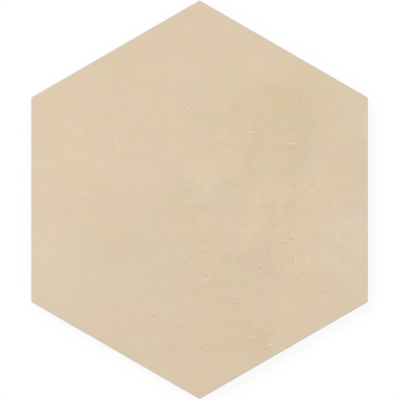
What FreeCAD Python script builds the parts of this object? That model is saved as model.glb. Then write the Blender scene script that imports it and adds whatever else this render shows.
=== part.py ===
"""Elongated hexagonal floor tile, dry-pressed in porcelain and fired as one piece.

The tile lies face up. The origin is the middle of its back, in the plane that the tile beds on.
X runs across the two long parallel sides, Y runs from point to point, and Z rises to the walking
face. All sizes are in millimetres.

From the walking face down, the edge has a fine bevel, then an upright land that sets the joint to
the next tile, and below it a draft that lets the pressed clay leave the mould. The back carries a
honeycomb of keying ribs inside a plain rim: the adhesive fills the cells and grips the ribs.
"""

import FreeCAD, Part
import math
import os

# Plan of the tile, measured to its sharp corners before they are rounded
ACROSS_FLATS = 200.0
OVER_POINTS = 237.0
POINT_ANGLE = 120.0
CORNER_RADIUS = 0.6

# Section of the edge
THICKNESS = 9.0
FACE_BEVEL_WIDTH = 0.5
FACE_BEVEL_HEIGHT = 0.5
LAND_HEIGHT = 3.5
DRAFT_INSET = 1.0

# Keying relief of the back
RIM_WIDTH = 7.0
KEY_DEPTH = 0.8
CELL_PITCH = 14.0
RIB_CREST_WIDTH = 2.0
RIB_FLANK_RUN = 0.5
SMALLEST_CELL_SHARE = 0.3

CELL_SIDES = 6
PARTS_FOLDER = "parts"


def tile_corners(inset=0.0):
    """Sharp corners of the plan, anticlockwise from the upper point, with its sides moved in."""
    half_width = ACROSS_FLATS / 2
    half_angle = math.radians(POINT_ANGLE / 2)
    tip = OVER_POINTS / 2
    shoulder = tip - half_width / math.tan(half_angle)
    # Moving every side in by the inset draws the points and the shoulders in by different amounts.
    half_width -= inset
    tip -= inset / math.sin(half_angle)
    shoulder = tip - half_width / math.tan(half_angle)
    return [
        FreeCAD.Vector(0, tip),
        FreeCAD.Vector(-half_width, shoulder),
        FreeCAD.Vector(-half_width, -shoulder),
        FreeCAD.Vector(0, -tip),
        FreeCAD.Vector(half_width, -shoulder),
        FreeCAD.Vector(half_width, shoulder),
    ]


def closed_polygon(points, height):
    """Closed wire through the points, lifted to the height."""
    lifted = [point + FreeCAD.Vector(0, 0, height) for point in points]
    return Part.makePolygon(lifted + lifted[:1])


def tile_outline(inset, height):
    """Plan outline at one height, moved in from the widest one by the inset, corners rounded."""
    corners = tile_corners(inset)
    arcs = []
    for i, corner in enumerate(corners):
        towards_last = (corners[i - 1] - corner).normalize()
        towards_next = (corners[(i + 1) % len(corners)] - corner).normalize()
        inwards = (towards_last + towards_next).normalize()
        half_angle = towards_last.getAngle(towards_next) / 2
        tangent = CORNER_RADIUS / math.tan(half_angle)
        crown = corner + inwards * (CORNER_RADIUS / math.sin(half_angle) - CORNER_RADIUS)
        arcs.append((corner + towards_last * tangent, crown, corner + towards_next * tangent))
    edges = []
    for i, (start, crown, end) in enumerate(arcs):
        next_start = arcs[(i + 1) % len(arcs)][0]
        edges.append(Part.Arc(start, crown, end).toShape())
        edges.append(Part.LineSegment(end, next_start).toShape())
    return Part.Wire(edges).translated(FreeCAD.Vector(0, 0, height))


def pressed_blank():
    """The tile with a flat back: drafted skirt, upright land and bevelled face edge."""
    land_top = THICKNESS - FACE_BEVEL_HEIGHT
    levels = [
        tile_outline(DRAFT_INSET, 0),
        tile_outline(0, land_top - LAND_HEIGHT),
        tile_outline(0, land_top),
        tile_outline(FACE_BEVEL_WIDTH, THICKNESS),
    ]
    return Part.makeLoft(levels, True, True)


def hexagon(apothem, height):
    """Regular hexagon round the origin, two sides along X, by its centre-to-side distance."""
    corner_radius = apothem / math.cos(math.pi / CELL_SIDES)
    angles = [2 * math.pi * i / CELL_SIDES for i in range(CELL_SIDES)]
    points = [FreeCAD.Vector(math.cos(angle), math.sin(angle)) * corner_radius for angle in angles]
    return closed_polygon(points, height)


def mouth_apothem():
    """Centre-to-side distance of a cell where it opens on the back."""
    return (CELL_PITCH - RIB_CREST_WIDTH) / 2


def whole_cell():
    """One keying cell at the origin, its flanks sloping in towards its floor."""
    mouth = hexagon(mouth_apothem(), 0)
    floor = hexagon(mouth_apothem() - RIB_FLANK_RUN, KEY_DEPTH)
    return Part.makeLoft([mouth, floor], True, True)


def keyed_field():
    """The region inside the plain rim, whose sloping border cuts the outer cells short."""
    rim_inset = DRAFT_INSET + RIM_WIDTH
    mouth = closed_polygon(tile_corners(rim_inset), 0)
    floor = closed_polygon(tile_corners(rim_inset + RIB_FLANK_RUN), KEY_DEPTH)
    return Part.makeLoft([mouth, floor], True, True)


def distance_inside(point, corners):
    """How far the point lies inside the nearest side of an anticlockwise outline."""
    distances = []
    for i, corner in enumerate(corners):
        along = (corners[(i + 1) % len(corners)] - corner).normalize()
        inwards = FreeCAD.Vector(-along.y, along.x)
        distances.append((point - corner).dot(inwards))
    return min(distances)


def cell_centres():
    """Honeycomb centres over the whole plan. The tile's own centre lies on a rib crest."""
    column_step = CELL_PITCH * math.cos(math.pi / CELL_SIDES)
    columns = math.ceil(ACROSS_FLATS / 2 / column_step)
    rows = math.ceil(OVER_POINTS / 2 / CELL_PITCH) + 1
    for column in range(-columns, columns + 1):
        stagger = CELL_PITCH / 2 if column % 2 == 0 else 0
        for row in range(-rows, rows + 1):
            yield FreeCAD.Vector(column * column_step, row * CELL_PITCH + stagger)


def keying_cells():
    """The whole cells, and those that the rim cuts, without the smallest leftovers."""
    cell = whole_cell()
    field = keyed_field()
    field_corners = tile_corners(DRAFT_INSET + RIM_WIDTH)
    reach = mouth_apothem() / math.cos(math.pi / CELL_SIDES)
    cells = []
    for centre in cell_centres():
        inside = distance_inside(centre, field_corners)
        placed = cell.translated(centre)
        if inside >= reach:
            cells.append(placed)
        elif inside > -reach:
            cut_short = placed.common(field)
            if cut_short.Volume > SMALLEST_CELL_SHARE * cell.Volume:
                cells.append(cut_short)
    return cells


def hexagon_tile():
    """The finished tile as one solid."""
    return pressed_blank().cut(keying_cells()).Solids[0]


os.makedirs(PARTS_FOLDER, exist_ok=True)
hexagon_tile().exportStep(os.path.join(PARTS_FOLDER, "hexagon_tile.step"))
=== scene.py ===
"""Elongated hexagonal floor tile in matte sand-beige porcelain, seen from straight above.

The tile is one fired piece. Its walking face is a fine triangular lattice that carries the slight
waviness and the small nicks of a cement-look glaze, its edge has a worn arris, an upright land and
a draft, and its back has the honeycomb of keying ribs that the adhesive grips.

Lengths are in metres and colours are linear, where nothing else is said.
"""

import logging
import math
from dataclasses import dataclass
from enum import Enum
from functools import partialmethod
from typing import Any, Mapping, Sequence

import bmesh
import bpy
import numpy as np
from bpy.types import ID, Material, Mesh, Node, NodeSocket, NodeTree, Object
from mathutils import Color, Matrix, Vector, noise


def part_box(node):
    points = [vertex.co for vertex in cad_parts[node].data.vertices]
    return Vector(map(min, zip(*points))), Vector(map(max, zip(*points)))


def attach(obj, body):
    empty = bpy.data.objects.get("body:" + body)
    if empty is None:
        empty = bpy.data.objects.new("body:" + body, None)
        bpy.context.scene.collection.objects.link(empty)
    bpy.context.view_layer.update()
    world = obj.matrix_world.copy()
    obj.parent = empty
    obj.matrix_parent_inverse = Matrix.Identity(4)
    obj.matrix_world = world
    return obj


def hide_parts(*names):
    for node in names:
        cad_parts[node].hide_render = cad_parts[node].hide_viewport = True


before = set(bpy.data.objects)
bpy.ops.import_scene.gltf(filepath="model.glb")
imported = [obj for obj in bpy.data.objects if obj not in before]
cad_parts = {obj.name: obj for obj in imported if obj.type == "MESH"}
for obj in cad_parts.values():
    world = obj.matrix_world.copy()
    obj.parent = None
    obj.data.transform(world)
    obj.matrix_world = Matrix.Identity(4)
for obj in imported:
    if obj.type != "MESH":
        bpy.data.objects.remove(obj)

logging.basicConfig(level=logging.INFO, format="%(message)s")
log = logging.getLogger("hexagon_tile")

MM = 0.001
# A sixth and a twelfth of a full turn
SIXTH = math.pi / 3
TWELFTH = math.pi / 6
# Centre-to-corner distance of a regular hexagon whose centre-to-side distance is 1
TO_CORNER = 1 / math.cos(TWELFTH)
CAD_NODE = "hexagon_tile"
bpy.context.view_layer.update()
BODY = "root"
PIECE_NAME = "tile"
# The attribute holds each nick's own tone together with the painted light and shade of its groove or pit.
NICK_TONE_AND_SHADING = "nick_tone"
HALF = (0.5, 0.5, 0.5)
ONE = (1.0, 1.0, 1.0)
# Points that are nearer than this are one, and heights that differ by less are the same.
WELD = 0.001 * MM

# The photograph is 400 pixels square. It shows the tile from straight above, its middle at this place.
PHOTO_SIDE = 400
PHOTO_PIXELS_PER_MM = 1.683
TILE_IN_PHOTO = (199.56, 199.71)

Pair = tuple[float, float]
Triple = tuple[float, float, float]
Quad = tuple[float, float, float, float]
Faces = list[tuple[int, ...]]


def screen(red: float, green: float, blue: float) -> Triple:
    """Turn a screen colour of 0 to 255 a channel into the linear one that a shader takes."""
    return tuple(Color((red / 255, green / 255, blue / 255)).from_srgb_to_scene_linear())


def link_object(name: str, data: ID) -> Object:
    """Put an object at the origin of the scene.

    Args:
        name: Its name.
        data: Its mesh, light or camera.

    Returns:
        The object.
    """
    made = bpy.data.objects.new(name, data)
    bpy.context.scene.collection.objects.link(made)
    return made


def inside_sides(x: Any, y: Any, half_width: Any, stretch: Any) -> tuple[Any, Any]:
    """Return how far places, as numbers, arrays or signals, lie inside a tile's long and sloping sides."""
    to_slope = half_width + (stretch - abs(y)) * math.sin(SIXTH) - abs(x) * math.cos(SIXTH)
    return half_width - abs(x), to_slope


class NodeSheet:
    """A shader or geometry node tree that is filled in by expressions."""

    def __init__(self, tree: NodeTree) -> None:
        """Take the tree and empty it."""
        self.tree = tree
        tree.nodes.clear()

    def add(self, kind: str, settings: Mapping[str, Any] | None = None, inputs: Any = ()) -> "Signal":
        """Add one node.

        Args:
            kind: Its type name.
            settings: Its properties, set before its sockets.
            inputs: Values or signals, in the order of the sockets in use or by socket name.

        Returns:
            Its first output in use.
        """
        node = self.tree.nodes.new(kind)
        for name, value in (settings or {}).items():
            setattr(node, name, value)
        named = inputs.items() if isinstance(inputs, Mapping) else enumerate(inputs)
        for key, value in named:
            self.feed(self.socket(node.inputs, key), value)
        outputs = [socket for socket in node.outputs if socket.enabled]
        return Signal(self, node, outputs[0] if outputs else None)

    @staticmethod
    def socket(sockets: Any, key: int | str) -> NodeSocket:
        """Return one of the sockets in use, by its number among them or by its name."""
        used = [socket for socket in sockets if socket.enabled]
        return used[key] if isinstance(key, int) else next(one for one in used if one.name == key)

    def feed(self, socket: NodeSocket, value: Any) -> None:
        """Link a signal to a socket, or set a plain value on it.

        Args:
            socket: The input socket.
            value: A signal, several signals for a joining socket, or a plain value.
        """
        if isinstance(value, Signal):
            self.tree.links.new(value.socket, socket)
        elif isinstance(value, list):
            for signal in value:
                self.feed(socket, signal)
        else:
            socket.default_value = (*value, 1.0) if socket.type == "RGBA" else value

    def split(self, vector: "Signal") -> tuple["Signal", "Signal", "Signal"]:
        """Return the X, Y and Z of a vector."""
        parts = self.add("ShaderNodeSeparateXYZ", inputs=(vector,))
        return parts["X"], parts["Y"], parts["Z"]


@dataclass(frozen=True)
class Signal:
    """An output socket that can be used in expressions."""

    sheet: NodeSheet
    node: Node
    socket: NodeSocket | None

    def __getitem__(self, name: str) -> "Signal":
        """Return another output of the same node, by its name."""
        return Signal(self.sheet, self.node, self.sheet.socket(self.node.outputs, name))

    def maths(self, operation: str, *operands: Any) -> "Signal":
        """Return the result of a Math node on self and the operands."""
        return self.sheet.add("ShaderNodeMath", {"operation": operation}, (self, *operands))

    def vector(self, operation: str, *operands: Any) -> "Signal":
        """Return the result of a Vector Math node on self and the operands."""
        return self.sheet.add("ShaderNodeVectorMath", {"operation": operation}, (self, *operands))

    # Each of these signs and functions of Python adds the Math node of its name.
    __add__ = __radd__ = partialmethod(maths, "ADD")
    __sub__ = partialmethod(maths, "SUBTRACT")
    __mul__ = __rmul__ = partialmethod(maths, "MULTIPLY")
    __truediv__ = partialmethod(maths, "DIVIDE")
    __mod__ = partialmethod(maths, "MODULO")
    __lt__ = partialmethod(maths, "LESS_THAN")
    __abs__ = partialmethod(maths, "ABSOLUTE")
    __round__ = partialmethod(maths, "ROUND")

    def __rsub__(self, other: float) -> "Signal":
        """Return other - self."""
        return self.maths("MULTIPLY_ADD", -1.0, other)

    def between(self, low: float, high: float) -> "Signal":
        """Return low where self is 0 and high where it is 1."""
        return self * (high - low) + low

    def spread(self, span: float) -> "Signal":
        """Return a signal of 0 to 1 as one about nought that covers the span."""
        return (self - 0.5) * span

    def blend(self, below: Any, above: Any) -> "Signal":
        """Return a colour that goes from one to another as self rises from 0 to 1."""
        colours = {"Factor": self, "A": below, "B": above}
        return self.sheet.add("ShaderNodeMix", {"data_type": "RGBA"}, colours)

    def ramp(self, start: float, end: float, low: float = 0.0, high: float = 1.0) -> "Signal":
        """Return a signal that eases from low, where self is at the start, to high at the end."""
        settings = {"interpolation_type": "SMOOTHSTEP"}
        return self.sheet.add("ShaderNodeMapRange", settings, (self, start, end, low, high))


@dataclass(frozen=True)
class TilePlan:
    """The plan of the tile: a regular hexagon pulled apart at its waist, so all corners are 120 degrees."""

    half_width: float  # from the middle to a long side at the widest level
    half_length: float  # from the middle to a sharp point at the widest level
    corner_radius: float = 0.6 * MM
    draft_inset: float = 1.0 * MM  # how far the back's outline lies inside the widest one

    @classmethod
    def from_frame(cls) -> "TilePlan":
        """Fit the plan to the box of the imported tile.

        Returns:
            The plan, its points measured to where they would be sharp.
        """
        low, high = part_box(CAD_NODE)
        rounded_off = cls.corner_radius * (1 / math.sin(SIXTH) - 1)
        half_width = (high.x - low.x) / 2 - WELD
        half_length = (high.y - low.y) / 2 - WELD
        return cls(half_width, half_length + rounded_off)

    @property
    def stretch(self) -> float:
        """How far each half is moved out of a regular hexagon of the same width."""
        return self.half_length - self.half_width / math.sin(SIXTH)

    def corners(self, inset: float) -> list[Vector]:
        """Work out the sharp corners with all sides moved in.

        Args:
            inset: How far the sides are moved in from the widest level.

        Returns:
            The corners, anticlockwise from the upper point.
        """
        half_width = self.half_width - inset
        tip = half_width / math.sin(SIXTH) + self.stretch
        shoulder = tip - half_width / math.tan(SIXTH)
        places = [(0.0, tip), (-half_width, shoulder), (-half_width, -shoulder)]
        return [Vector((x, y, 0)) for x, y in places] + [Vector((-x, -y, 0)) for x, y in places]

    def rounded(self, place: Vector, inset: float) -> Vector:
        """Pull a place on a sharp outline in to the rounded one.

        Args:
            place: A point, on the sharp outline or well inside it, at any height.
            inset: How far that outline lies inside the widest one.

        Returns:
            The point, moved only where it lies within the rounding of a corner.
        """
        flat = Vector((place.x, place.y, 0))
        for i, corner in enumerate(self.corners(inset)):
            if (flat - corner).length < self.corner_radius / math.tan(SIXTH):
                angle = math.pi / 2 + i * SIXTH
                outwards = Vector((math.cos(angle), math.sin(angle), 0))
                centre = corner - outwards * (self.corner_radius / math.sin(SIXTH))
                round_place = centre + (flat - centre).normalized() * self.corner_radius
                return Vector((round_place.x, round_place.y, place.z))
        return place

    def distance_inside(self, places: np.ndarray, inset: float) -> np.ndarray:
        """Return how far places, as rows of X and Y, lie inside the outline moved in by the inset."""
        return np.minimum(*inside_sides(*places.T, self.half_width - inset, self.stretch))


@dataclass(frozen=True)
class Nick:
    """A small groove or pit in the glaze, paler or darker than the glaze round it: partly its own tone,
    partly painted light and shade of its relief.
    """

    middle: Pair
    half_length: float
    angle: float  # its direction, anticlockwise from X
    contrast: float  # how pale it looks beside a plain one, and below nought how dark


class NickKind(Enum):
    """Kinds of nick, with their length in millimetres and direction in degrees."""

    LONG_DASH = (3.4, 0.0)
    DASH = (1.6, 0.0)
    UPRIGHT = (2.4, 90.0)
    SLANT = (2.6, -55.0)
    SHALLOW_SLANT = (3.6, -25.0)
    RISING = (1.8, 45.0)
    PIT = (0.2, 0.0)

    def at(self, *places: Triple) -> list[Nick]:
        """Return nicks of this kind, each from its X and Y in millimetres and its contrast."""
        half_length, angle = self.value[0] * MM / 2, math.radians(self.value[1])
        return [Nick((x * MM, y * MM), half_length, angle, contrast) for x, y, contrast in places]


# The nicks of the face, by kind: X and Y in millimetres, and contrast
NICKS: tuple[Nick, ...] = (
    *NickKind.LONG_DASH.at(
        (-5.4, 78.5, 0.25), (33.2, 65.8, 0.45), (33.2, 64.6, -0.35), (53.0, 64.5, -0.7), (-17.6, 57.8, 0.5),
        (4.6, 56.0, 0.35), (0.6, 55.7, 0.35), (16.3, 55.0, 0.6), (29.5, 41.7, -0.25), (32.5, 41.7, -0.2),
        (28.2, 40.4, 0.4), (33.6, 40.4, 0.2), (30.5, 40.0, 1.1), (55.8, 33.4, 0.9), (53.0, 33.0, 0.45),
        (56.0, 30.5, -0.5), (15.5, -3.0, 0.6), (15.4, -21.3, -0.35), (47.8, -24.4, 0.5),
        (50.6, -24.4, 0.45), (48.5, -26.2, -0.25), (52.5, -26.2, -0.2), (-5.1, -37.3, 0.55),
        (-4.0, -47.5, 0.6), (21.0, -57.6, 0.45), (20.5, -59.0, -0.4), (-27.5, -69.0, -0.9),
        (29.5, -70.5, 0.6), (30.5, -81.5, 1.0), (37.4, -89.0, -0.35), (37.4, -90.2, 0.35),
        (11.0, -94.3, 0.4),
    ),
    *NickKind.DASH.at(
        (-5.7, 80.0, -0.3), (58.8, 77.8, 0.5), (58.4, 76.2, -0.35), (-36.3, 70.5, 0.45),
        (-36.4, 68.9, -0.5), (48.5, 68.5, 0.5), (-8.1, 63.4, -0.35), (-7.8, 62.2, 0.6), (46.9, 58.9, -0.4),
        (46.9, 57.8, 0.6), (-10.4, 55.9, 0.4), (-10.1, 55.1, -0.4), (6.2, 54.8, -0.35), (16.0, 52.5, 0.5),
        (25.5, 47.5, -0.5), (-0.6, 45.0, 0.35), (68.6, 43.8, -0.35), (-48.5, 40.6, -0.5),
        (11.0, 37.3, 0.65), (11.0, 34.9, -0.45), (-11.5, 33.5, -0.6), (-45.5, 31.6, 0.35),
        (5.5, 31.0, -0.9), (-33.9, 12.3, -0.35), (-10.1, 11.2, -0.45), (-10.1, 9.6, 0.45),
        (-45.5, 8.4, 0.45), (-45.8, 7.2, -0.45), (-67.2, 1.6, 0.45), (-67.1, 0.1, -0.45),
        (37.4, -8.0, -0.45), (37.4, -9.4, 0.4), (25.2, -15.0, -0.5), (24.9, -16.5, 0.3), (15.4, -19.6, 0.5),
        (1.5, -30.9, -0.75), (17.2, -31.6, -0.4), (48.0, -35.5, -0.8), (85.2, -37.9, -0.55),
        (3.5, -38.5, 0.7), (18.0, -41.0, 0.7), (30.0, -43.7, -0.5), (30.3, -45.0, 0.45), (58.2, -45.8, 0.3),
        (59.0, -47.0, -0.5), (4.5, -47.4, 1.2), (-27.5, -67.5, 0.6), (-33.9, -76.8, -0.5),
        (38.9, -78.0, 0.4), (-33.4, -78.3, 0.4), (30.3, -78.5, -0.4), (-6.0, -83.5, 0.4),
        (48.7, -88.4, 0.9), (11.2, -93.0, -0.3),
    ),
    *NickKind.UPRIGHT.at(
        (19.2, 72.2, -0.35), (15.9, 72.0, -0.55), (17.6, 71.7, 0.35), (59.1, 58.7, -0.35),
        (57.5, 58.5, 0.4), (40.7, 53.0, 0.35), (10.1, 48.6, -0.5), (40.1, 46.5, -0.45), (70.0, 39.5, 0.4),
        (-50.0, 39.5, 0.7), (67.4, 38.7, 0.35), (69.0, 38.5, -0.5), (-49.5, 34.5, 0.5), (59.4, -1.2, -0.35),
        (57.9, -2.0, 0.4), (54.6, -4.0, 0.4), (15.4, -13.2, 0.45), (66.5, -29.6, 0.45), (64.8, -29.8, -0.2),
        (57.0, -34.5, 0.9), (10.1, -34.5, 0.3), (56.0, -35.5, -0.7), (65.0, -37.3, 0.5),
        (66.6, -38.8, -0.35), (90.5, -44.2, -0.6), (12.6, -48.4, -0.4), (13.6, -48.9, 0.4),
        (-21.4, -51.6, -0.35), (30.9, -56.3, 0.3), (60.3, -58.4, 0.35), (61.9, -58.4, -0.35),
        (69.8, -60.6, 0.35), (71.3, -60.9, -0.35), (-74.8, -63.2, -0.55), (24.6, -65.5, 0.5),
        (39.2, -68.2, 0.45),
    ),
    *NickKind.SLANT.at(
        (38.5, 41.5, 0.4), (41.0, 37.0, 0.15), (44.0, 33.5, 0.4), (45.0, 32.5, -0.6), (52.5, -42.7, 0.35),
        (33.8, -61.4, 0.3),
    ),
    *NickKind.SHALLOW_SLANT.at((67.6, 7.5, -0.4), (66.5, 5.5, 0.6)),
    *NickKind.RISING.at((1.4, -33.9, 0.65), (41.0, -49.2, 0.35), (47.5, -56.9, 0.35)),
    *NickKind.PIT.at(
        (-6.5, 56.5, -1.9), (-6.5, 55.0, 1.4), (-33.4, 54.2, -0.6), (-34.5, 53.3, 0.9), (-35.2, 52.2, -0.6),
        (3.0, 47.0, 0.9), (4.5, 45.5, 0.9), (-28.6, 29.2, 0.8), (89.1, 29.2, -0.8), (70.0, 13.8, -0.5),
        (71.2, 13.8, 0.4), (-39.6, 13.5, 0.5), (-37.8, 13.5, -0.5), (71.4, 12.6, -0.6), (70.0, 12.4, 0.4),
        (-39.8, 12.0, -0.5), (-38.1, 11.9, 0.6), (64.5, 6.5, 0.9), (69.5, -0.5, 0.9), (71.5, -1.0, 0.7),
        (69.5, -2.5, 0.9), (70.4, -22.4, 0.8), (54.5, -23.5, -2.6), (71.6, -23.6, 0.5), (70.6, -23.9, -0.4),
        (16.6, -33.9, -0.4), (16.5, -35.5, 0.9), (15.1, -35.5, -0.5), (57.0, -38.0, 1.0),
        (36.0, -41.0, -1.7), (36.0, -42.5, 1.6), (3.5, -45.7, -0.8), (5.3, -47.0, 0.8), (74.0, -53.0, 1.9),
        (76.0, -54.5, -1.1), (17.7, -57.5, -1.0), (17.0, -76.5, 1.1), (61.0, -76.5, 1.3),
        (60.0, -78.5, -1.5), (19.0, -78.5, -1.3), (23.5, -79.0, 0.6), (22.2, -79.9, 1.3),
        (23.5, -80.5, 0.6), (-16.7, -82.5, 0.7), (55.8, -83.9, 2.2), (42.5, -86.0, 3.5), (0.5, -86.5, 1.9),
        (0.5, -88.0, -1.9),
    ),
)


@dataclass(frozen=True)
class GlazeRelief:
    """The relief of the walking face, all of it below the level that the tile is made to."""

    wave_depth: float = 0.05 * MM  # the broad waviness left by the press
    wave_span: float = 38.0 * MM
    peel_depth: float = 0.016 * MM  # the fine orange peel of the glaze
    peel_span: float = 3.6 * MM
    peel_layers: int = 3  # how many layers of it lie over one another
    peel_fineness: float = 2.1  # how much finer each layer is than the last
    peel_fading: float = 0.8  # how fast the finer ones fade
    nick_depth: float = 0.07 * MM  # of a full nick
    nick_width: float = 0.38 * MM  # half of it
    painted_shading_offset: float = 1.8  # from a nick's middle to the lip where its painted shading lies, in half widths
    painted_shading_share: float = 0.2  # strength of that lip's painted shade beside a pale nick, and painted light beside a dark one
    border: float = 3.0 * MM  # where the relief dies away towards the edge

    def nick_profile(self, places: np.ndarray, nicks: Sequence[Nick]) -> tuple[np.ndarray, np.ndarray]:
        """Work out how deep the nicks are at each place, and how pale or dark they look, with the painted
        light and shade of their relief.

        Args:
            places: X and Y of the points.
            nicks: The nicks of the face.

        Returns:
            The depth, and the tone with its painted light and shade, above nought for pale and below it for
            dark.
        """
        depth = np.zeros(len(places))
        tone = np.zeros(len(places))
        for nick in nicks:
            cos, sin = math.cos(nick.angle), math.sin(nick.angle)
            offset = places - nick.middle
            along, across = offset @ (cos, sin), offset @ (-sin, cos)
            beyond = np.maximum(np.abs(along) - nick.half_length, 0)
            off_lip = across + self.painted_shading_offset * self.nick_width
            core = np.exp(-(across**2 + beyond**2) / self.nick_width**2)
            lip = np.exp(-(off_lip**2 + beyond**2) / self.nick_width**2)
            depth += min(abs(nick.contrast), 1) * self.nick_depth * core
            # Each nick's lip is painted the other way from its core: painted shade beside a pale nick,
            # painted light beside a dark one.
            tone += nick.contrast * (core - self.painted_shading_share * lip)
        return depth, tone

    def depth(self, places: np.ndarray, from_edge: np.ndarray, nick_depth: np.ndarray) -> np.ndarray:
        """Work out the depth of the whole relief at each place.

        Args:
            places: X and Y of the points.
            from_edge: Distance of each point from the outline.
            nick_depth: Depth of the nicks there.

        Returns:
            Depth below the flat face.
        """
        points = [Vector((x, y, 0)) for x, y in places]
        layers = (self.peel_fading, self.peel_fineness, self.peel_layers)
        waves = np.array([noise.noise(point / self.wave_span) for point in points])
        peel = np.array([noise.fractal(point / self.peel_span, *layers) for point in points])
        depth = self.wave_depth * np.clip(0.5 + waves, 0, 1)
        depth += self.peel_depth * np.clip(0.5 + 0.5 * peel, 0, 1)
        return (depth + nick_depth) * np.clip(from_edge / self.border, 0, 1)


def column_triangles(left: range, right: range) -> Faces:
    """Join two neighbouring columns of points, one of which has one point more, by triangles.

    Args:
        left: Numbers of the left column's points, from the lowest up.
        right: Those of the right column's.

    Returns:
        The triangles, facing up.
    """
    shorter, longer = sorted((left, right), key=len)
    faces: Faces = [(left[i], right[i], longer[i + 1]) for i in range(len(shorter))]
    return faces + [(shorter[i], right[i + 1], left[i + 1]) for i in range(len(shorter) - 1)]


@dataclass
class TileShell:
    """The walking face and the edge of the tile, open at the back."""

    plan: TilePlan
    thickness: float
    bevel: float = 0.5 * MM  # width and height of the worn arris at the face
    land_foot: float = 5.0 * MM  # height at which the upright land ends
    foot_radius: float = 0.35 * MM  # wear of the edge between the draft and the back
    arris_steps: int = 4
    land_steps: int = 4
    draft_steps: int = 5
    columns: int = 132  # steps of the face lattice from the middle to a long side
    fine_cuts: int = 2  # cuts made in the lattice's edges round a nick
    fine_margin: float = 1.0 * MM  # how far that finer mesh reaches past a nick
    relief: GlazeRelief = GlazeRelief()
    nicks: tuple[Nick, ...] = NICKS

    def side_steps(self) -> int:
        """Return the steps along a long side that come nearest to the length of the others."""
        upper, left, lower = self.plan.corners(self.bevel)[:3]
        return round((lower - left).length / (left - upper).length * self.columns)

    def face_lattice(self) -> tuple[list[Vector], Faces]:
        """Lay equilateral triangles over the face, in columns that grow towards the middle.

        Returns:
            The points at the level of the face, and the triangles as triples of their numbers.
        """
        shoulder = self.plan.corners(self.bevel)[1]
        side_steps = self.side_steps()
        points: list[Vector] = []
        numbers: list[range] = []
        for column in range(-self.columns, self.columns + 1):
            share = abs(column) / self.columns
            half = shoulder.y - (1 - share) * shoulder.x / math.tan(SIXTH)
            steps = side_steps + self.columns - abs(column)
            numbers.append(range(len(points), len(points) + steps + 1))
            for i in range(steps + 1):
                x = -shoulder.x * column / self.columns
                place = Vector((x, half * (2 * i / steps - 1), self.thickness))
                on_outline = i in (0, steps) or share == 1
                points.append(self.plan.rounded(place, self.bevel) if on_outline else place)
        pairs = zip(numbers, numbers[1:])
        return points, [face for left, right in pairs for face in column_triangles(left, right)]

    def levels(self) -> list[Pair]:
        """Work out where the rings of the edge lie.

        Returns:
            Inset and height of each ring, from the face down to the back.
        """
        bevel, draft, foot = self.bevel, self.plan.draft_inset, self.foot_radius
        land_top = self.thickness - bevel
        turns = [math.pi / 2 * (1 - i / self.arris_steps) for i in range(self.arris_steps + 1)]
        rings = [(bevel * (1 - math.cos(turn)), land_top + bevel * math.sin(turn)) for turn in turns]
        land_step = (land_top - self.land_foot) / self.land_steps
        rings += [(0.0, land_top - land_step * i) for i in range(1, self.land_steps + 1)]
        draft_step = (1 - foot / self.land_foot) / self.draft_steps
        shares = [draft_step * i for i in range(1, self.draft_steps + 1)]
        rings += [(draft * share, self.land_foot * (1 - share)) for share in shares]
        # The foot is worn to a quarter circle, with a ring halfway round it.
        worn = foot * (1 - math.cos(math.pi / 4))
        return rings + [(draft + worn, worn), (draft + foot, 0.0)]

    def ring(self, inset: float, height: float) -> list[Vector]:
        """Lay points round the tile at one level.

        Args:
            inset: How far the level's outline lies inside the widest one.
            height: Height of the level.

        Returns:
            The points from the upper one on, as many as the face has on its outline.
        """
        corners = self.plan.corners(inset)
        steps = [self.columns, self.side_steps(), self.columns] * 2
        sides = zip(corners, corners[1:] + corners[:1], steps)
        places = [start.lerp(end, i / count) for start, end, count in sides for i in range(count)]
        return [self.plan.rounded(place + Vector((0, 0, height)), inset) for place in places]

    def edge(self, first: int) -> tuple[list[Vector], Faces]:
        """Build the rings of the edge.

        Args:
            first: The number that the first point gets.

        Returns:
            The points, and the faces between the rings as their numbers.
        """
        rings = [self.ring(inset, height) for inset, height in self.levels()]
        count = len(rings[0])
        faces: Faces = []
        for start in range(first, first + count * (len(rings) - 1), count):
            for i in range(count):
                here, following = start + i, start + (i + 1) % count
                faces.append((following, here, here + count, following + count))
        return [point for ring in rings for point in ring], faces

    def refine(self, shell: bmesh.types.BMesh) -> None:
        """Make the mesh finer round the nicks.

        Args:
            shell: The welded shell.
        """
        shell.faces.ensure_lookup_table()
        places = np.array([face.calc_center_median()[:] for face in shell.faces])
        near = np.zeros(len(places), bool)
        for nick in self.nicks:
            offsets = places[:, :2] - nick.middle
            near |= np.hypot(*offsets.T) < nick.half_length + self.fine_margin
        near &= places[:, 2] > self.thickness - WELD
        edges = {edge for i in np.flatnonzero(near) for edge in shell.faces[i].edges}
        bmesh.ops.subdivide_edges(shell, edges=list(edges), cuts=self.fine_cuts, use_grid_fill=True)
        bmesh.ops.triangulate(shell, faces=[face for face in shell.faces if len(face.verts) > 4])

    def press(self, mesh: Mesh) -> None:
        """Lower the points of the face to the relief, and store the tone of the nicks with their painted
        light and shade.

        Args:
            mesh: The shell's mesh.
        """
        places = np.empty(len(mesh.vertices) * 3, np.float32)
        mesh.vertices.foreach_get("co", places)
        places = places.reshape(-1, 3)
        on_face = places[:, 2] > self.thickness - WELD
        flat = places[on_face, :2].astype(float)
        nick_depth, nick_tone = self.relief.nick_profile(flat, self.nicks)
        from_edge = self.plan.distance_inside(flat, self.bevel)
        places[on_face, 2] -= self.relief.depth(flat, from_edge, nick_depth)
        mesh.vertices.foreach_set("co", places.ravel())
        tone = np.zeros(len(places), np.float32)
        tone[on_face] = nick_tone
        mesh.attributes.new(NICK_TONE_AND_SHADING, "FLOAT", "POINT").data.foreach_set("value", tone)
        mesh.update()

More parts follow.
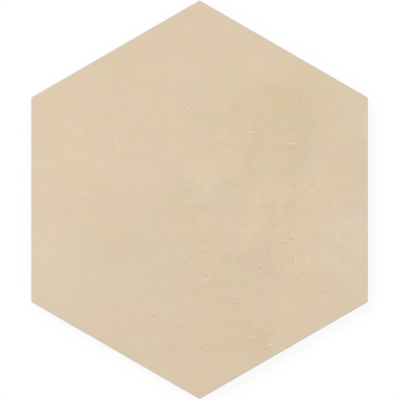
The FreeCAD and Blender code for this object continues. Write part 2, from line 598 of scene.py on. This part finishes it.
    def build(self, glaze: Material) -> Object:
        """Make the shell.

        Args:
            glaze: The material of the glaze.

        Returns:
            The shell as an object at the origin, with the tone and painted shading of its nicks as an
            attribute.
        """
        points, faces = self.face_lattice()
        edge_points, edge_faces = self.edge(len(points))
        mesh = bpy.data.meshes.new(PIECE_NAME)
        mesh.from_pydata([point[:] for point in points + edge_points], [], faces + edge_faces)
        shell = bmesh.new()
        shell.from_mesh(mesh)
        bmesh.ops.remove_doubles(shell, verts=shell.verts, dist=WELD)
        self.refine(shell)
        for face in shell.faces:
            face.smooth = True
        shell.to_mesh(mesh)
        shell.free()
        self.press(mesh)
        mesh.materials.append(glaze)
        return link_object(PIECE_NAME, mesh)


class BackSheet(NodeSheet):
    """The node tree that closes a shell with the keyed back."""

    def __init__(self, sizes: Mapping[str, float | int]) -> None:
        """Start the tree.

        Args:
            sizes: The sizes and counts that it takes, by the names of its inputs.
        """
        super().__init__(bpy.data.node_groups.new("keyed back", "GeometryNodeTree"))
        kinds = {name: "Int" if isinstance(value, int) else "Float" for name, value in sizes.items()}
        for name, kind in ({"Shell": "Geometry"} | kinds).items():
            self.tree.interface.new_socket(name, in_out="INPUT", socket_type=f"NodeSocket{kind}")
        self.tree.interface.new_socket("Tile", in_out="OUTPUT", socket_type="NodeSocketGeometry")
        self.given = self.add("NodeGroupInput")
        # The place is that of whatever points or faces a node works on.
        self.place = self.add("GeometryNodeInputPosition")
        self.x, self.y, self.height = self.split(self.place)

    def moved(self, mesh: Signal, axis: str, distance: Any) -> Signal:
        """Return a mesh whose points are moved along an axis."""
        offset = self.add("ShaderNodeCombineXYZ", inputs={axis: distance})
        return self.add("GeometryNodeSetPosition", inputs={"Geometry": mesh, "Offset": offset})

    def without(self, mesh: Signal, unwanted: Signal, domain: str) -> Signal:
        """Return a mesh that has lost its unwanted points or faces."""
        return self.add("GeometryNodeDeleteGeometry", {"domain": domain}, (mesh, unwanted))

    def joined(self, *parts: Signal) -> Signal:
        """Return several meshes or curves as one."""
        return self.add("GeometryNodeJoinGeometry", inputs=([*parts],))

    def open_edges(self, mesh: Signal) -> Signal:
        """Return the edges of a mesh that have fewer than two faces, as closed curves."""
        alone = self.add("GeometryNodeInputMeshEdgeNeighbors") < 2.0
        return self.add("GeometryNodeMeshToCurve", inputs=(mesh, alone))

    def plug(self, apothem: Signal, foot: Any, top: Signal) -> Signal:
        """Add a six-sided plug that narrows upwards, with two of its sides along X.

        Args:
            apothem: Centre-to-side distance at the level of the back.
            foot: How far the plug reaches below the back.
            top: How far it reaches above the back.

        Returns:
            The plug's mesh.
        """
        slope = self.given["Flank Slope"]
        sizes = {
            "Vertices": 6,
            "Radius Bottom": (apothem + slope * foot) * TO_CORNER,
            "Radius Top": (apothem - slope * top) * TO_CORNER,
            "Depth": top + foot,
        }
        return self.moved(self.add("GeometryNodeMeshCone", {"fill_type": "NGON"}, sizes), "Z", foot * -1.0)

    def cells(self) -> Signal:
        """Add the honeycomb of whole cells, wherever one reaches into the keyed field.

        Returns:
            The cells as closed plugs that reach a little below the back.
        """
        names = ("Cell Pitch", "Key Depth", "Mouth Apothem", "Columns", "Rows")
        pitch, depth, mouth, columns, rows = (self.given[name] for name in names)
        step = pitch * math.cos(TWELFTH)
        spans = {"Size X": step * (columns - 1.0), "Size Y": pitch * (rows - 1.0)}
        grid = self.add("GeometryNodeMeshGrid", inputs=spans | {"Vertices X": columns, "Vertices Y": rows})
        stagger = (1.0 - abs(round(self.x / step)) % 2.0) * pitch * 0.5
        region = (self.given["Field Apothem"], self.given["Field Stretch"])
        to_side, to_slope = inside_sides(self.x, self.y, *region)
        outside = to_side.maths("MINIMUM", to_slope) < mouth * -TO_CORNER
        centres = self.without(self.moved(grid, "Y", stagger), outside, "POINT")
        cell = {"Points": centres, "Instance": self.plug(mouth, depth, depth)}
        placed = self.add("GeometryNodeInstanceOnPoints", inputs=cell)
        return self.add("GeometryNodeRealizeInstances", inputs=(placed,))

    def keyed_field(self) -> Signal:
        """Add the region inside the rim, as one plug that stands on the back, higher than the cells.

        Returns:
            The plug, pulled apart at its waist as the tile's plan is.
        """
        plug = self.plug(self.given["Field Apothem"], 0.0, self.given["Key Depth"] * 2.0)
        turned = self.add("GeometryNodeTransform", inputs={"Geometry": plug, "Rotation": (0, 0, TWELFTH)})
        return self.moved(turned, "Y", self.y.maths("SIGN") * self.given["Field Stretch"])

    def recesses(self) -> Signal:
        """Cut the cells to the keyed field, drop the smallest leftovers and open the rest downwards.

        Returns:
            The flanks and floors of the recesses, facing down.
        """
        settings = {"operation": "INTERSECT", "solver": "EXACT"}
        cut = self.add("GeometryNodeMeshBoolean", settings, {"Mesh": [self.cells(), self.keyed_field()]})
        # The cones from the origin to the faces of a closed island add up to its volume.
        to_plane = self.place.vector("DOT_PRODUCT", self.add("GeometryNodeInputNormal"))
        cone = to_plane * self.add("GeometryNodeInputMeshFaceArea") * (1 / 3)
        island = self.add("GeometryNodeInputMeshIsland")
        added = self.add("GeometryNodeAccumulateField", {"domain": "FACE"}, (cone, island))
        small = added["Total"] < self.given["Smallest Volume"]
        lid = self.height < WELD
        return self.add("GeometryNodeFlipFaces", inputs=(self.without(cut, small + lid, "FACE"),))

    def build(self, clay: Material) -> None:
        """Fill in the crests of the ribs and the rim, and join the back to the shell.

        Args:
            clay: The material of the bare clay.
        """
        shell, recesses = self.given["Shell"], self.recesses()
        loops = self.joined(self.open_edges(shell), self.open_edges(recesses))
        crests = self.add("GeometryNodeFillCurve", {"mode": "TRIANGLES"}, (loops,))
        crests = self.add("GeometryNodeFlipFaces", inputs=(crests,))
        back = self.add("GeometryNodeSetShadeSmooth", inputs=(self.joined(crests, recesses), True, False))
        welded = {"Geometry": self.joined(shell, back), "Distance": WELD}
        tile = self.add("GeometryNodeMergeByDistance", inputs=welded)
        tile = self.add("GeometryNodeRealizeInstances", inputs=(tile,))
        bare = self.height < self.given["Glaze Foot"]
        tile = self.add("GeometryNodeSetMaterial", inputs=(tile, bare, clay))
        self.add("NodeGroupOutput", inputs=(tile,))


@dataclass
class KeyedBack:
    """The back of the tile: a honeycomb of keying ribs inside a plain rim."""

    plan: TilePlan
    rim_width: float = 7.0 * MM
    key_depth: float = 0.8 * MM
    cell_pitch: float = 14.0 * MM
    rib_crest: float = 2.0 * MM
    flank_run: float = 0.5 * MM  # how far a rib's flank leans out over its height
    smallest_share: float = 0.3  # part of a whole cell's volume that a cut one has to keep
    glaze_foot: float = 8.2 * MM  # height down to which the glaze covers the edge

    def sizes(self) -> dict[str, float | int]:
        """Work out the sizes that the node tree takes.

        Returns:
            The sizes and counts, by the names of the tree's inputs.
        """
        step = self.cell_pitch * math.cos(TWELFTH)
        mouth = (self.cell_pitch - self.rib_crest) / 2
        # A whole cell is a frustum between two regular hexagons.
        areas = [2 * math.sqrt(3) * apothem**2 for apothem in (mouth, mouth - self.flank_run)]
        whole = self.key_depth / 3 * (sum(areas) + math.sqrt(areas[0] * areas[1]))
        return {
            "Key Depth": self.key_depth,
            "Cell Pitch": self.cell_pitch,
            "Mouth Apothem": mouth,
            "Flank Slope": self.flank_run / self.key_depth,
            "Field Apothem": self.plan.half_width - self.plan.draft_inset - self.rim_width,
            "Field Stretch": self.plan.stretch,
            "Columns": 2 * math.ceil(self.plan.half_width / step) + 1,
            "Rows": 2 * math.ceil(self.plan.half_length / self.cell_pitch) + 3,
            "Smallest Volume": self.smallest_share * whole,
            "Glaze Foot": self.glaze_foot,
        }

    def close(self, shell: Object, clay: Material) -> None:
        """Close the shell with the keyed back, as a plain mesh.

        Args:
            shell: The shell, changed in place.
            clay: The material of the bare clay.
        """
        sizes = self.sizes()
        sheet = BackSheet(sizes)
        sheet.build(clay)
        modifier = shell.modifiers.new("keyed back", "NODES")
        modifier.node_group = sheet.tree
        for item in sheet.tree.interface.items_tree:
            if item.name in sizes:
                modifier[item.identifier] = sizes[item.name]
        depsgraph = bpy.context.evaluated_depsgraph_get()
        settings = {"preserve_all_data_layers": True, "depsgraph": depsgraph}
        mesh = bpy.data.meshes.new_from_object(shell.evaluated_get(depsgraph), **settings)
        # The plugs bring an empty slot along that no face uses.
        mesh.materials.pop(index=mesh.materials[:].index(None))
        shell.modifiers.clear()
        shell.data = mesh


@dataclass(frozen=True)
class Mottle:
    """A cloudy noise from 0 to 1, 0.5 on average."""

    span: float  # size of its largest clouds
    detail: float  # how many finer layers it has
    roughness: float  # how strong each finer layer is beside the one before
    swing: float = 1.0  # how much of it goes into a tone

    def at(self, place: Signal) -> Signal:
        """Return the noise at a place."""
        layers = {"Scale": 1 / self.span, "Detail": self.detail, "Roughness": self.roughness}
        return place.sheet.add("ShaderNodeTexNoise", inputs={"Vector": place} | layers)

    def drift(self, place: Signal) -> Signal:
        """Return three such noises at a place as a vector, each of them about nought."""
        return self.at(place)["Color"].vector("SUBTRACT", HALF)

    def tone(self, shown: Signal) -> Signal:
        """Return the share by which the noise, as it shows, makes a colour lighter."""
        return shown.spread(self.swing)


def new_material(name: str) -> tuple[Material, NodeSheet]:
    """Start a material.

    Args:
        name: Its name.

    Returns:
        The material, and the sheet of its empty node tree.
    """
    material = bpy.data.materials.new(name)
    material.use_nodes = True
    return material, NodeSheet(material.node_tree)


@dataclass(frozen=True, kw_only=True)
class Finish:
    """What all finishes of the tile share."""

    name: str
    grain: Mottle
    grain_depth: float
    grain_strength: float  # how much of the grain the light shows
    gloss: Quad  # values of the noise that roughens it, and the roughness at each

    def surface(self, place: Signal) -> tuple[Signal, Signal, Signal]:
        """Return the colour at a place, the noise that roughens it, and its relief."""
        raise NotImplementedError

    def build(self) -> Material:
        """Make the material.

        Returns:
            The material, its pattern on the tile's own coordinates.
        """
        material, sheet = new_material(self.name)
        colour, uneven, height = self.surface(sheet.add("ShaderNodeTexCoord")["Object"])
        relief = {"Strength": self.grain_strength, "Distance": self.grain_depth, "Height": height}
        bump = sheet.add("ShaderNodeBump", inputs=relief)
        shader = {"Base Color": colour, "Roughness": uneven.ramp(*self.gloss), "Normal": bump}
        surface = sheet.add("ShaderNodeBsdfPrincipled", inputs=shader)
        sheet.add("ShaderNodeOutputMaterial", inputs={"Surface": surface})
        return material


class Shade(Enum):
    """Shades of the soft clouds laid over the ground under the glaze."""

    ROSE = screen(232, 209, 181)
    UMBER = screen(208, 187, 157)
    OLIVE = screen(206, 186, 146)
    SAGE = screen(206, 195, 168)
    MIST = screen(224, 210, 189)
    PLUM = screen(214, 190, 172)


# The clouds by shade, in laying order: X, Y and reach in millimetres, and how much shows in the middle
CLOUDS: dict[Shade, list[Quad]] = {
    # The broad rose clouds make the face lighter and warmer towards the upper left.
    Shade.ROSE: [(-100, 29, 100, 0.24), (-47, 29, 60, 0.10), (-27, 11, 22, 0.13), (-4, 77, 18, 0.10)],
    Shade.UMBER: [
        (12, -84, 85, 0.18), (20, -36, 34, 0.40), (14, -68, 28, 0.16), (51, -31, 24, 0.24),
        (-10, -85, 24, 0.12),
    ],
    Shade.OLIVE: [
        (53, 53, 46, 0.26), (49, 61, 12, 0.42), (54, 29, 34, 0.10), (27, 41, 40, 0.14), (31, 4, 26, 0.14),
        (59, -6, 34, 0.24), (34, -80, 22, 0.18),
    ],
    Shade.SAGE: [(-46, -40, 42, 0.20), (21, -12, 32, 0.18), (19, -50, 20, 0.14), (70, 24, 18, 0.20)],
    Shade.MIST: [
        (-86, -41, 48, 0.29), (91, -21, 46, 0.34), (-29, -55, 50, 0.12), (99, 47, 25, 0.30),
        (3, 11, 20, 0.12), (42, 82, 14, 0.15),
    ],
    Shade.PLUM: [(-28, -24, 22, 0.20), (-52, -2, 22, 0.24)],
}


@dataclass(frozen=True, kw_only=True)
class GlazeFinish(Finish):
    """The matte cement-look glaze of the walking face."""

    grain: Mottle = Mottle(0.8 * MM, 2.0, 0.6)
    grain_depth: float = 0.05 * MM
    grain_strength: float = 0.25
    gloss: Quad = (0.2, 0.8, 0.54, 0.68)
    plan: TilePlan
    face_height: float
    ground: Triple = screen(219, 198, 169.5)  # the print between its clouds
    swirl: float = 16.0 * MM  # how far noise bends the clouds' outlines
    bend: Mottle = Mottle(22 * MM, 4.0, 0.6)
    patchiness: Mottle = Mottle(9 * MM, 5.0, 0.65)  # thins the clouds here and thickens them there
    patchy: Quad = (0.3, 0.7, 0.5, 1.3)  # values of that noise, and how much of a cloud shows at each
    hue: Mottle = Mottle(24 * MM, 3.0, 0.9)  # shifts the three channels apart
    hue_swing: Triple = (0.14, 0.12, 0.18)
    broad: Mottle = Mottle(20 * MM, 3.0, 0.9, 0.085)  # the print's light and dark places
    patches: Mottle = Mottle(12 * MM, 3.0, 0.6, 0.013)  # its small even patches
    patch_edges: Pair = (0.45, 0.55)  # values of that noise where one patch ends and the next begins
    streaks: Mottle = Mottle(2.6 * MM, 2.0, 0.5, 0.05)
    drawn_out: Triple = (0.6, 1.0, 1.0)  # how much patches and streaks are packed along each axis
    busy_middle: Pair = (35 * MM, -8 * MM)  # where the texture is strongest
    busy_reach: float = 115.0 * MM
    busy_hue: Pair = (0.9, 1.6)  # strength of the shifts of hue far from there and in the middle
    busy_tone: Pair = (0.8, 1.8)  # strength of the light and dark likewise
    # The nicks are painted paler and darker, partly in their own tone and partly as painted highlight and
    # painted shade of their grooves and pits.
    pale_nick_and_highlight: Triple = screen(255, 240, 216)
    pale_share: float = 0.34  # how much of that colour a nick of contrast 1 shows
    dark_nick_and_shade: Triple = screen(112, 92, 72)
    dark_share: float = 0.21  # the same for a nick of contrast -1
    rim: Triple = screen(193, 205, 206)  # the arris, where the glaze runs thin over the edge
    rim_share: float = 0.38
    rim_reach: float = 2.1 * MM  # how far in from the outline it shows
    rim_rag: float = 1.2 * MM  # how far that reach wanders
    streak_relief: float = 0.5  # how much of the grain's relief is that of the streaks

    def clouded(self, place: Signal) -> Signal:
        """Lay the soft clouds over the ground under the glaze.

        Args:
            place: The place on the tile.

        Returns:
            The colour.
        """
        bent = place.vector("ADD", self.bend.drift(place).vector("SCALE", self.swirl * 2))
        patchiness = self.patchiness.at(place).ramp(*self.patchy)
        colour: Any = self.ground
        for shade, clouds in CLOUDS.items():
            for x, y, reach, share in clouds:
                away = bent.vector("DISTANCE", (x * MM, y * MM, self.face_height))
                shown = away.ramp(reach * MM, 0.0) * patchiness * share
                colour = shown.blend(colour, shade.value)
        return colour

    def textured(self, colour: Signal, place: Signal, streaks: Signal) -> Signal:
        """Break the print up into lighter, darker and warmer places.

        Args:
            colour: The colour of the ground with its clouds.
            place: The place on the tile.
            streaks: The noise of the fine streaks.

        Returns:
            The colour, most broken up in the busy part.
        """
        centre = (*self.busy_middle, self.face_height)
        busy = place.vector("DISTANCE", centre).ramp(self.busy_reach, 0.0)
        hue = self.hue.drift(place).vector("MULTIPLY", self.hue_swing)
        hue = hue.vector("SCALE", busy.between(*self.busy_hue))
        patches = self.patches.at(place.vector("MULTIPLY", self.drawn_out)).ramp(*self.patch_edges)
        tone = self.broad.tone(self.broad.at(place))
        tone += self.patches.tone(patches) + self.streaks.tone(streaks)
        toned = colour.vector("MULTIPLY", hue.vector("ADD", ONE))
        return toned.vector("SCALE", tone * busy.between(*self.busy_tone) + 1.0)

    def nicked(self, colour: Signal) -> Signal:
        """Colour the nicks by the tone that the mesh holds: their own tone together with painted light and
        shade of their relief.

        Args:
            colour: The colour of the glaze.

        Returns:
            The colour with its nicks and their painted light and shade.
        """
        nick = colour.sheet.add("ShaderNodeAttribute", {"attribute_name": NICK_TONE_AND_SHADING})["Fac"]
        colour = (nick * self.pale_share).blend(colour, self.pale_nick_and_highlight)
        return (nick * -self.dark_share).blend(colour, self.dark_nick_and_shade)

    def rimmed(self, colour: Signal, place: Signal, uneven: Signal) -> Signal:
        """Let the glaze run thin over the edge, where it looks greyer.

        Args:
            colour: The colour of the glaze.
            place: The place on the tile.
            uneven: The noise by which its reach wanders.

        Returns:
            The colour with its greyer rim.
        """
        x, y, _ = place.sheet.split(place)
        to_side, to_slope = inside_sides(x, y, self.plan.half_width, self.plan.stretch)
        inside = to_side.maths("MINIMUM", to_slope) + uneven.spread(self.rim_rag)
        return inside.ramp(self.rim_reach, 0.0, 0.0, self.rim_share).blend(colour, self.rim)

    def surface(self, place: Signal) -> tuple[Signal, Signal, Signal]:
        """Work out the look of the glaze at a place.

        Args:
            place: The place on the tile.

        Returns:
            The colour, the noise that roughens it, and its relief.
        """
        streaks = self.streaks.at(place.vector("MULTIPLY", self.drawn_out))
        colour = self.nicked(self.textured(self.clouded(place), place, streaks))
        relief = streaks * self.streak_relief + self.grain.at(place) * (1 - self.streak_relief)
        return self.rimmed(colour, place, streaks), streaks, relief


@dataclass(frozen=True, kw_only=True)
class ClayFinish(Finish):
    """The bare fired clay of the edge and the back."""

    grain: Mottle = Mottle(0.7 * MM, 3.0, 0.7, 0.12)
    grain_depth: float = 0.08 * MM
    grain_strength: float = 0.5
    gloss: Quad = (0.2, 0.8, 0.78, 0.95)
    ground: Triple = screen(205, 187, 162)
    wash: Triple = screen(226, 217, 202)  # kiln wash that rubs off on the rib crests and the rim
    wash_heights: Pair = (0.05 * MM, 0.3 * MM)  # where it is thickest and where it ends
    wash_cover: Quad = (0.36, 0.62, 0.35, 0.85)  # values of the middling noise, and how much shows at each
    speck: Triple = screen(150, 128, 104)
    speck_span: float = 2.2 * MM  # from speck to speck
    speck_sizes: Pair = (0.06, 0.14)  # where a speck is darkest and where it ends, in spans
    speck_share: float = 0.7  # how much of its colour shows in its middle
    overspray: Triple = screen(215, 199, 177)  # glaze that strays below the arris
    spray_heights: Pair = (7.4 * MM, 8.5 * MM)  # where it ends and where it covers all
    spray_rag: float = 1.2 * MM  # how far these heights wander
    broad: Mottle = Mottle(45 * MM, 4.0, 0.55, 0.12)
    middling: Mottle = Mottle(12 * MM, 5.0, 0.65, 0.10)

    def soiled(self, place: Signal, middling: Signal) -> Signal:
        """Lay wash, specks and overspray over the plain clay.

        Args:
            place: The place on the tile.
            middling: The noise that makes wash and overspray uneven.

        Returns:
            The colour.
        """
        _, _, height = place.sheet.split(place)
        thick, thin = self.wash_heights
        rubbed = height.ramp(thin, thick) * middling.ramp(*self.wash_cover)
        colour = rubbed.blend(self.ground, self.wash)
        lattice = {"Vector": place, "Scale": 1 / self.speck_span}
        cells = place.sheet.add("ShaderNodeTexVoronoi", inputs=lattice)
        core, rim = self.speck_sizes
        colour = cells["Distance"].ramp(rim, core, 0.0, self.speck_share).blend(colour, self.speck)
        sprayed = (height + middling.spread(self.spray_rag)).ramp(*self.spray_heights)
        return sprayed.blend(colour, self.overspray)

    def surface(self, place: Signal) -> tuple[Signal, Signal, Signal]:
        """Work out the look of the clay at a place.

        Args:
            place: The place on the tile.

        Returns:
            The colour, the noise that roughens it, and its relief.
        """
        middling = self.middling.at(place)
        grain = self.grain.at(place)
        tone = self.broad.tone(self.broad.at(place)) + self.middling.tone(middling) + self.grain.tone(grain)
        return self.soiled(place, middling).vector("SCALE", tone + 1.0), grain, grain


@dataclass
class Studio:
    """The pale floor, the soft light and the camera."""

    outline_height: float  # where the tile's outline is widest
    sky: float = 0.80  # strength of the even light from all round
    key: float = 0.20  # strength of the soft key light on the face, beside an even light of 1
    key_place: Triple = (-1.1, 1.4, 2.4)
    key_size: float = 1.4  # its diameter
    floor_side: float = 8.0
    floor_grey: float = 0.93  # how much light the floor throws back
    floor_white: float = 1.03  # brightness of the plain white that the camera sees of it
    floor_glow: float = 0.80  # share of the floor that the camera sees as plain white
    lens: float = 200.0  # focal length of the camera, in millimetres

    @staticmethod
    def seen_directly(sheet: NodeSheet) -> Signal:
        """Tell what the camera sees from what only lights the tile.

        Args:
            sheet: The world's or a material's tree.

        Returns:
            1 for what the camera sees straight, in a reflection or through glass, else 0.
        """
        path = sheet.add("ShaderNodeLightPath")
        seen = path["Is Camera Ray"].maths("MAXIMUM", path["Is Glossy Ray"])
        return seen.maths("MAXIMUM", path["Is Transmission Ray"])

    def light_world(self) -> None:
        """Give the world its even light, plain white where the camera sees it."""
        world = bpy.data.worlds.new("studio")
        world.use_nodes = True
        bpy.context.scene.world = world
        sheet = NodeSheet(world.node_tree)
        strength = self.seen_directly(sheet).between(self.sky, 1.0)
        light = sheet.add("ShaderNodeBackground", inputs={"Color": ONE, "Strength": strength})
        sheet.add("ShaderNodeOutputWorld", inputs={"Surface": light})

    def hang_key(self) -> None:
        """Hang the soft key light above the upper left."""
        light = bpy.data.lights.new("key", "AREA")
        light.shape = "DISK"
        light.size = self.key_size
        place = Vector(self.key_place)
        facing = place.normalized()
        # A small patch of light sends energy / (pi * area) * solid angle * cosine to the face.
        light.energy = self.key * math.pi * math.pi * place.length_squared / facing.z
        lamp = link_object("key", light)
        lamp.location = place
        lamp.rotation_euler = facing.to_track_quat("Z", "Y").to_euler()

    def lay_floor(self) -> Object:
        """Lay the floor.

        Returns:
            The floor, which isn't part of the tile.
        """
        mesh = bpy.data.meshes.new("floor")
        half = self.floor_side / 2
        corners = [(-half, -half, 0), (half, -half, 0), (half, half, 0), (-half, half, 0)]
        mesh.from_pydata(corners, [], [(0, 1, 2, 3)])
        material, sheet = new_material("floor")
        matte = sheet.add("ShaderNodeBsdfDiffuse", inputs={"Color": (self.floor_grey,) * 3})
        white = sheet.add("ShaderNodeEmission", inputs={"Color": ONE, "Strength": self.floor_white})
        share = self.seen_directly(sheet) * self.floor_glow
        surface = sheet.add("ShaderNodeMixShader", inputs=(share, matte, white))
        sheet.add("ShaderNodeOutputMaterial", inputs={"Surface": surface})
        mesh.materials.append(material)
        return link_object("floor", mesh)

    def set_camera(self) -> None:
        """Hang the camera straight above, framed as the photograph is."""
        camera = bpy.data.cameras.new("camera")
        camera.lens = self.lens
        frame_side = PHOTO_SIDE / PHOTO_PIXELS_PER_MM * MM
        distance = frame_side * camera.lens / camera.sensor_width
        holder = link_object("camera", camera)
        aside = (PHOTO_SIDE / 2 - TILE_IN_PHOTO[0]) / PHOTO_PIXELS_PER_MM * MM
        ahead = (TILE_IN_PHOTO[1] - PHOTO_SIDE / 2) / PHOTO_PIXELS_PER_MM * MM
        holder.location = (aside, ahead, self.outline_height + distance)
        bpy.context.scene.camera = holder

    def build(self) -> Object:
        """Set up the whole stage.

        Returns:
            The floor.
        """
        bpy.context.scene.view_settings.view_transform = "Standard"
        self.light_world()
        self.hang_key()
        self.set_camera()
        return self.lay_floor()


@dataclass
class HexagonTile:
    """The whole tile as it lies on the floor."""

    shell: TileShell
    back: KeyedBack
    glaze: GlazeFinish
    clay: ClayFinish

    def build(self) -> Object:
        """Make the tile and put it in the place of the plain solid.

        Returns:
            The tile as one closed mesh.
        """
        piece = self.shell.build(self.glaze.build())
        self.back.close(piece, self.clay.build())
        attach(piece, BODY)
        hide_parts(CAD_NODE)
        return piece


def main() -> None:
    """Build the tile and its stage, and report each piece."""
    plan = TilePlan.from_frame()
    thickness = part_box(CAD_NODE)[1].z
    shell = TileShell(plan, thickness)
    glaze = GlazeFinish(name="cement_glaze", plan=plan, face_height=thickness)
    tile = HexagonTile(shell, KeyedBack(plan), glaze, ClayFinish(name="fired_clay"))
    piece = tile.build()
    log.info("%s: %d points, %d faces", piece.name, len(piece.data.vertices), len(piece.data.polygons))
    floor = Studio(thickness - shell.bevel).build()
    log.info("%s: stage", floor.name)


if __name__ == "__main__":
    main()
